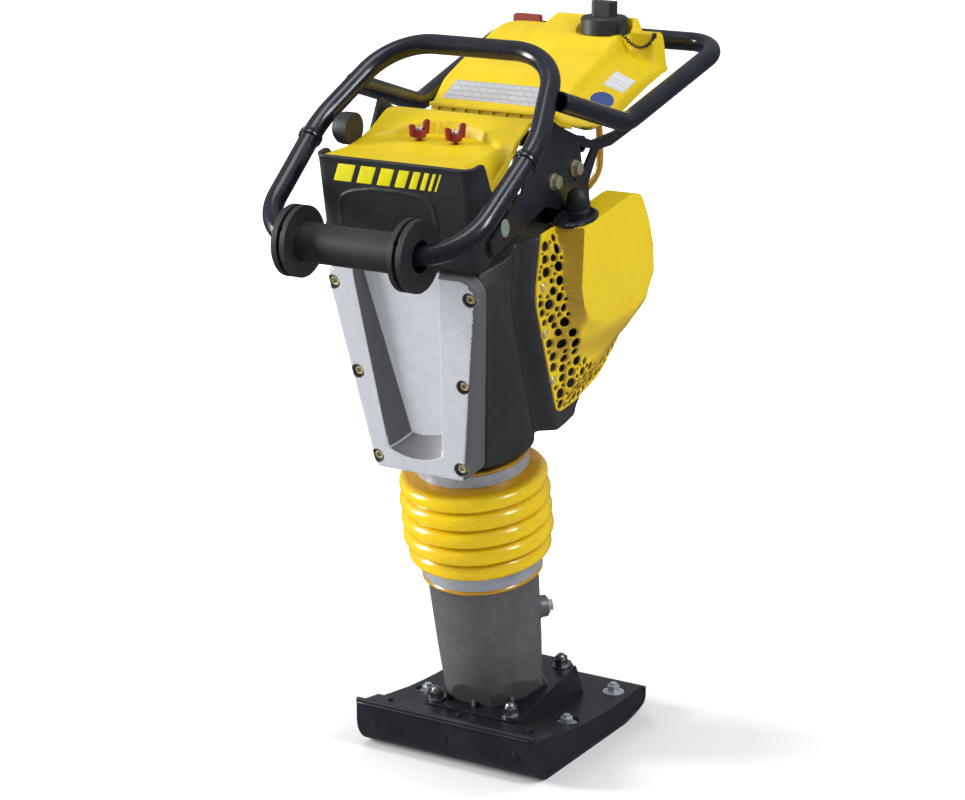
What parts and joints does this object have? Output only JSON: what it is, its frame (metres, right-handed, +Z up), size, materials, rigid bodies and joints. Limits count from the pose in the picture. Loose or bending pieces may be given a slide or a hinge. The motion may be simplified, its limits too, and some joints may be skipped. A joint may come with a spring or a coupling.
{
  "type": "jumping jack rammer",
  "caption": "Upright soil rammer: curled shoe, spring leg with bellows, crankcase with side engine, fuel tank, roller and hooped lifting handle.",
  "frame": {"origin": "point on the ground where the leaning ram axis meets it, on the machine's mid-plane", "axes": "+Z up; -Y towards the front of the machine; +X towards its muffler side"},
  "size_m": [0.3618, 0.718, 0.996],
  "materials": {
    "black_steel": "satin",
    "shoe_laminate": "matte",
    "zinc": "satin",
    "yellow_zinc": "satin",
    "leg_casting": "satin",
    "cover_casting": "sand-cast",
    "case_casting": "satin",
    "machined_steel": "ground",
    "bearing_bronze": "satin",
    "spring_steel": "satin",
    "yellow_bellows": "gloss",
    "yellow_plastic": "semi-gloss",
    "charcoal_plastic": "satin",
    "tube_coat": "gloss",
    "black_rubber": "matte",
    "red_plastic": "satin",
    "amber_hose": "gloss",
    "engine_alloy": "cast",
    "engine_paint": "satin",
    "filter_paper": "matte"
  },
  "bodies": {
    "foot": {"sole_plate": "black_steel", "shoe_core": "shoe_laminate", "sole_rivets": "black_steel", "sole_bolts": "zinc", "pedestal_wedge": "black_steel", "leg_clamp_plate": "black_steel", "leg_nuts": "zinc", "leg_cylinder": "leg_casting", "leg_guide_bush": "bearing_bronze", "oil_plug": "zinc", "spring_box": "machined_steel", "spring_box_cap": "machined_steel", "lower_springs": "spring_steel", "upper_springs": "spring_steel", "bellows": "yellow_bellows", "lower_bellows_clamp": "zinc"},
    "housing": {"crankcase": "case_casting", "front_cover": "cover_casting", "cover_screws": "yellow_zinc", "guide_cylinder": "machined_steel", "upper_bellows_clamp": "zinc", "crank_bearings": "machined_steel", "engine_block": "engine_alloy", "cylinder_barrel": "engine_alloy", "rocker_cover": "engine_paint", "muffler": "engine_paint", "muffler_guard": "yellow_plastic", "guard_screws": "zinc", "recoil_housing": "engine_paint", "carburettor": "engine_alloy", "rubber_mounts": "black_rubber", "fuel_hose": "amber_hose"},
    "crank": {"crank_gear": "machined_steel"},
    "clutch": {"clutch_drum": "machined_steel", "pinion_shaft": "machined_steel"},
    "engine_rotor": {"engine_shaft": "machined_steel", "clutch_shoes": "engine_alloy", "flywheel": "engine_alloy"},
    "ram": {"crosshead": "engine_alloy", "wrist_pin": "machined_steel", "piston_rod": "machined_steel", "spring_piston": "machined_steel"},
    "rod": {"conrod": "machined_steel"},
    "handle": {"handle_hoop": "tube_coat", "handle_loop": "tube_coat", "side_plate_left": "black_steel", "side_plate_right": "black_steel", "plate_bolts": "yellow_zinc", "cross_tube": "tube_coat", "front_panel": "charcoal_plastic", "filter_hood": "yellow_plastic", "air_filter": "filter_paper", "fuel_tank": "yellow_plastic", "throttle_bracket": "black_steel"},
    "roller": {"roller": "black_rubber"},
    "knob_left": {"wing_knob_left": "red_plastic"},
    "knob_right": {"wing_knob_right": "red_plastic"},
    "cap": {"fuel_cap": "charcoal_plastic"},
    "throttle": {"throttle_lever": "red_plastic"},
    "starter_grip": {"recoil_handle": "charcoal_plastic"}
  },
  "joints": [
    {"name": "ram_stroke", "type": "slide", "parent": "foot", "child": "housing", "axis": [0, -0.171, 0.9853], "range_m": [-0.03, 0.035], "stiffness_N_per_m": 30000, "springref_m": 0.012, "deforming": ["bellows", "lower_springs", "upper_springs"]},
    {"name": "piston_travel", "type": "slide", "parent": "housing", "child": "ram", "axis": [0, -0.171, 0.9853], "range_m": [-0.022, 0.022], "deforming": ["lower_springs", "upper_springs"]},
    {"name": "rod_swing", "type": "hinge", "parent": "ram", "child": "rod", "pos_m": [0, -0.07523, 0.43352], "axis": [0, 0.9853, 0.171], "range_deg": [-12.56, 0]},
    {"name": "crank_spin", "type": "hinge", "parent": "housing", "child": "crank", "pos_m": [0, -0.07987, 0.6357], "axis": [0, 0.9853, 0.171], "continuous": true},
    {"name": "clutch_spin", "type": "hinge", "parent": "housing", "child": "clutch", "pos_m": [0, -0.06494, 0.54969], "axis": [0, 0.9853, 0.171], "continuous": true},
    {"name": "engine_spin", "type": "hinge", "parent": "housing", "child": "engine_rotor", "pos_m": [0, 0.04344, 0.5685], "axis": [0, 0.9853, 0.171], "continuous": true},
    {"name": "starter_pull", "type": "slide", "parent": "housing", "child": "starter_grip", "axis": [-1, 0, 0], "range_m": [0, 0.45], "stiffness_N_per_m": 20, "springref_m": -0.05},
    {"name": "handle_rock", "type": "hinge", "parent": "housing", "child": "handle", "pos_m": [0, -0.0253, 0.75987], "axis": [1, 0, 0], "range_deg": [-1.2, 1.2], "stiffness_Nm_per_rad": 4000},
    {"name": "roller_spin", "type": "hinge", "parent": "handle", "child": "roller", "pos_m": [0, -0.345, 0.7538], "axis": [1, 0, 0], "continuous": true},
    {"name": "knob_left_turn", "type": "hinge", "parent": "handle", "child": "knob_left", "pos_m": [-0.0267, -0.156, 0.86], "axis": [0, 0, 1], "continuous": true},
    {"name": "knob_right_turn", "type": "hinge", "parent": "handle", "child": "knob_right", "pos_m": [0.0267, -0.156, 0.86], "axis": [0, 0, 1], "continuous": true},
    {"name": "cap_turn", "type": "hinge", "parent": "handle", "child": "cap", "pos_m": [0.04, 0.21, 0.96], "axis": [0, 0, 1], "range_deg": [0, 90]},
    {"name": "throttle_swing", "type": "hinge", "parent": "handle", "child": "throttle", "pos_m": [-0.108, 0.262, 0.936], "axis": [-1, 0, 0], "range_deg": [0, 40]}
  ],
  "couplings": [
    {"joint": "clutch_spin", "follows": "crank_spin", "ratio": -4.8}
  ]
}
